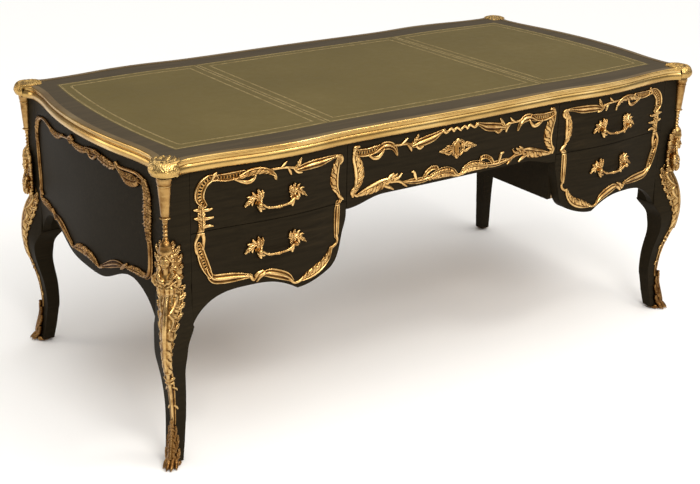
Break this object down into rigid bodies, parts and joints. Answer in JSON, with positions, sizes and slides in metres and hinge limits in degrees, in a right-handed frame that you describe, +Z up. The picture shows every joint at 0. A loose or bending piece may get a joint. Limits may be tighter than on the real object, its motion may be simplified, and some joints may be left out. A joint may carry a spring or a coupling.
{
  "type": "flat-topped writing desk",
  "caption": "Flat-topped writing desk with serpentine top, drawer pedestals either side of a kneehole, cabriole legs and gilt-bronze mounts.",
  "frame": {"origin": "on the floor, under the middle of the desk", "axes": "+X to the right as seen by someone facing the drawers, drawers open towards -Y, +Z up"},
  "size_m": [1.816, 0.9138, 0.7947],
  "materials": {
    "ebonised_wood": "polished, near-black",
    "oak": "plain planed oak",
    "polished_bronze": "bright polished gilt bronze",
    "gilt_bronze": "chased and gilt, part matt and part burnished",
    "leather": "waxed, gold-tooled border",
    "lock_steel": "filed steel"
  },
  "bodies": {
    "desk": {"top_board": "ebonised_wood", "leather_left": "leather", "leather_centre": "leather", "leather_right": "leather", "top_moulding": "polished_bronze", "corner_clasps": "polished_bronze", "leg_front_left": "ebonised_wood", "leg_front_right": "ebonised_wood", "leg_rear_left": "ebonised_wood", "leg_rear_right": "ebonised_wood", "espagnolette_front_left": "gilt_bronze", "espagnolette_front_right": "gilt_bronze", "espagnolette_rear_left": "gilt_bronze", "espagnolette_rear_right": "gilt_bronze", "sabots": "gilt_bronze", "front_top_rail": "ebonised_wood", "inner_side_left": "ebonised_wood", "inner_side_right": "ebonised_wood", "pedestal_bottoms": "oak", "divider_rails": "oak", "drawer_runners": "oak", "glue_blocks": "oak", "end_panel_left": "ebonised_wood", "end_panel_right": "ebonised_wood", "end_frame_left": "gilt_bronze", "end_frame_right": "gilt_bronze", "back_panel_left": "ebonised_wood", "back_panel_centre": "ebonised_wood", "back_panel_right": "ebonised_wood", "back_mounts": "gilt_bronze"},
    "drawer_upper_left": {"drawer_front_upper_left": "ebonised_wood", "drawer_box_upper_left": "oak", "frame_upper_left": "gilt_bronze", "handle_posts_upper_left": "gilt_bronze"},
    "pull_upper_left": {"bail_upper_left": "gilt_bronze"},
    "drawer_upper_right": {"drawer_front_upper_right": "ebonised_wood", "drawer_box_upper_right": "oak", "frame_upper_right": "gilt_bronze", "handle_posts_upper_right": "gilt_bronze"},
    "pull_upper_right": {"bail_upper_right": "gilt_bronze"},
    "drawer_lower_left": {"drawer_front_lower_left": "ebonised_wood", "drawer_box_lower_left": "oak", "frame_lower_left": "gilt_bronze", "handle_posts_lower_left": "gilt_bronze"},
    "pull_lower_left": {"bail_lower_left": "gilt_bronze"},
    "drawer_lower_right": {"drawer_front_lower_right": "ebonised_wood", "drawer_box_lower_right": "oak", "frame_lower_right": "gilt_bronze", "handle_posts_lower_right": "gilt_bronze"},
    "pull_lower_right": {"bail_lower_right": "gilt_bronze"},
    "drawer_centre": {"drawer_front_centre": "ebonised_wood", "drawer_box_centre": "oak", "frame_centre": "gilt_bronze", "escutcheon": "gilt_bronze", "lock_case": "lock_steel"},
    "bolt": {"lock_bolt": "lock_steel"}
  },
  "joints": [
    {"name": "drawer_upper_left_slide", "type": "slide", "parent": "desk", "child": "drawer_upper_left", "axis": [0, -1, 0], "range_m": [0, 0.42]},
    {"name": "drawer_upper_right_slide", "type": "slide", "parent": "desk", "child": "drawer_upper_right", "axis": [0, -1, 0], "range_m": [0, 0.42]},
    {"name": "drawer_lower_left_slide", "type": "slide", "parent": "desk", "child": "drawer_lower_left", "axis": [0, -1, 0], "range_m": [0, 0.42]},
    {"name": "drawer_lower_right_slide", "type": "slide", "parent": "desk", "child": "drawer_lower_right", "axis": [0, -1, 0], "range_m": [0, 0.42]},
    {"name": "drawer_centre_slide", "type": "slide", "parent": "desk", "child": "drawer_centre", "axis": [0, -1, 0], "range_m": [0, 0.4]},
    {"name": "pull_upper_left_swing", "type": "hinge", "parent": "drawer_upper_left", "child": "pull_upper_left", "pos_m": [-0.57886, -0.45089, 0.65], "axis": [-1, 0, 0], "range_deg": [-12, 75]},
    {"name": "pull_upper_right_swing", "type": "hinge", "parent": "drawer_upper_right", "child": "pull_upper_right", "pos_m": [0.57886, -0.45089, 0.65], "axis": [-1, 0, 0], "range_deg": [-12, 75]},
    {"name": "pull_lower_left_swing", "type": "hinge", "parent": "drawer_lower_left", "child": "pull_lower_left", "pos_m": [-0.57886, -0.45089, 0.529], "axis": [-1, 0, 0], "range_deg": [-12, 75]},
    {"name": "pull_lower_right_swing", "type": "hinge", "parent": "drawer_lower_right", "child": "pull_lower_right", "pos_m": [0.57886, -0.45089, 0.529], "axis": [-1, 0, 0], "range_deg": [-12, 75]},
    {"name": "bolt_throw", "type": "slide", "parent": "drawer_centre", "child": "bolt", "axis": [0, 0, 1], "range_m": [0, 0.009]}
  ]
}
